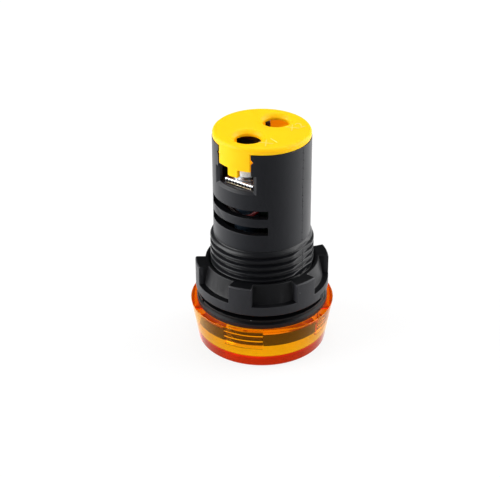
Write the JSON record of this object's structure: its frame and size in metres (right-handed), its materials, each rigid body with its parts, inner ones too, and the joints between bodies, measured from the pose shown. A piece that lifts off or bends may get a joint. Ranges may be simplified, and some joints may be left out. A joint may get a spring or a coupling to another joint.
{
  "type": "panel pilot light",
  "caption": "Indicator lamp for a 22 mm panel hole: clear amber lens, black threaded barrel with ring nut and gasket, screw terminals under a yellow cover.",
  "frame": {"origin": "centre of the lens's front face, which the lamp stands on", "axes": "+Z runs along the lamp's axis from the lens to the terminals; -Y faces the window of the first terminal"},
  "size_m": [0.03, 0.03, 0.0477],
  "materials": {
    "amber_lens": "clear amber, polished",
    "black_moulding": "fine matte",
    "nut_moulding": "fine matte",
    "gasket_rubber": "soft satin",
    "yellow_cover": "satin, slightly translucent",
    "tinned_brass": "tinned",
    "zinc_plate": "bright zinc plate",
    "spring_steel": "dark",
    "light_board": "white solder mask",
    "driver_board": "dark solder mask",
    "led_package": "white cup with pale amber fill",
    "header_black": "moulded",
    "sleeved_can": "blue-grey shrink sleeve",
    "film_box": "moulded",
    "resistor_body": "lacquer",
    "red_insulation": "plain insulation",
    "black_insulation": "plain insulation"
  },
  "bodies": {
    "root": {"lens": "amber_lens", "housing": "black_moulding", "led_board": "light_board", "driver_board": "driver_board", "pin_header": "header_black", "electrolytic_capacitor": "sleeved_can", "film_capacitor": "film_box", "bridge_rectifier": "header_black", "dropping_resistor": "resistor_body", "bleed_resistor": "resistor_body", "red_lead": "red_insulation", "black_lead": "black_insulation", "terminal_plate_1": "tinned_brass", "terminal_plate_2": "tinned_brass", "led_1": "led_package", "led_2": "led_package", "led_3": "led_package", "led_4": "led_package", "led_5": "led_package", "led_6": "led_package", "led_7": "led_package"},
    "gasket": {"gasket": "gasket_rubber"},
    "mounting_nut": {"mounting_nut": "nut_moulding"},
    "terminal_cover": {"terminal_cover": "yellow_cover"},
    "clamp_1": {"clamp_plate_1": "zinc_plate"},
    "screw_1": {"terminal_screw_1": "zinc_plate", "flat_washer_1": "zinc_plate", "spring_washer_1": "spring_steel"},
    "clamp_2": {"clamp_plate_2": "zinc_plate"},
    "screw_2": {"terminal_screw_2": "zinc_plate", "flat_washer_2": "zinc_plate", "spring_washer_2": "spring_steel"}
  },
  "joints": [
    {"name": "nut_turn", "type": "hinge", "parent": "root", "child": "gasket", "pos_m": [0, 0, 0.011], "axis": [0, 0, 1], "range_deg": [-180, 2880]},
    {"name": "nut_travel", "type": "slide", "parent": "gasket", "child": "mounting_nut", "axis": [0, 0, 1], "range_m": [-0.00075, 0.012]},
    {"name": "cover_lift", "type": "slide", "parent": "root", "child": "terminal_cover", "axis": [0, 0, 1], "range_m": [0, 0.009]},
    {"name": "clamp_lift_1", "type": "slide", "parent": "root", "child": "clamp_1", "axis": [0, 0, 1], "range_m": [0, 0.0025]},
    {"name": "screw_turn_1", "type": "hinge", "parent": "clamp_1", "child": "screw_1", "pos_m": [0, -0.0048, 0.04], "axis": [0, 0, 1], "range_deg": [0, 1800]},
    {"name": "clamp_lift_2", "type": "slide", "parent": "root", "child": "clamp_2", "axis": [0, 0, 1], "range_m": [0, 0.0025]},
    {"name": "screw_turn_2", "type": "hinge", "parent": "clamp_2", "child": "screw_2", "pos_m": [0, 0.0048, 0.04], "axis": [0, 0, 1], "range_deg": [0, 1800]}
  ],
  "couplings": [
    {"joint": "nut_turn", "follows": "nut_travel", "rad_per_m": 4188.8},
    {"joint": "screw_turn_1", "follows": "clamp_lift_1", "rad_per_m": 12566},
    {"joint": "screw_turn_2", "follows": "clamp_lift_2", "rad_per_m": 12566}
  ]
}
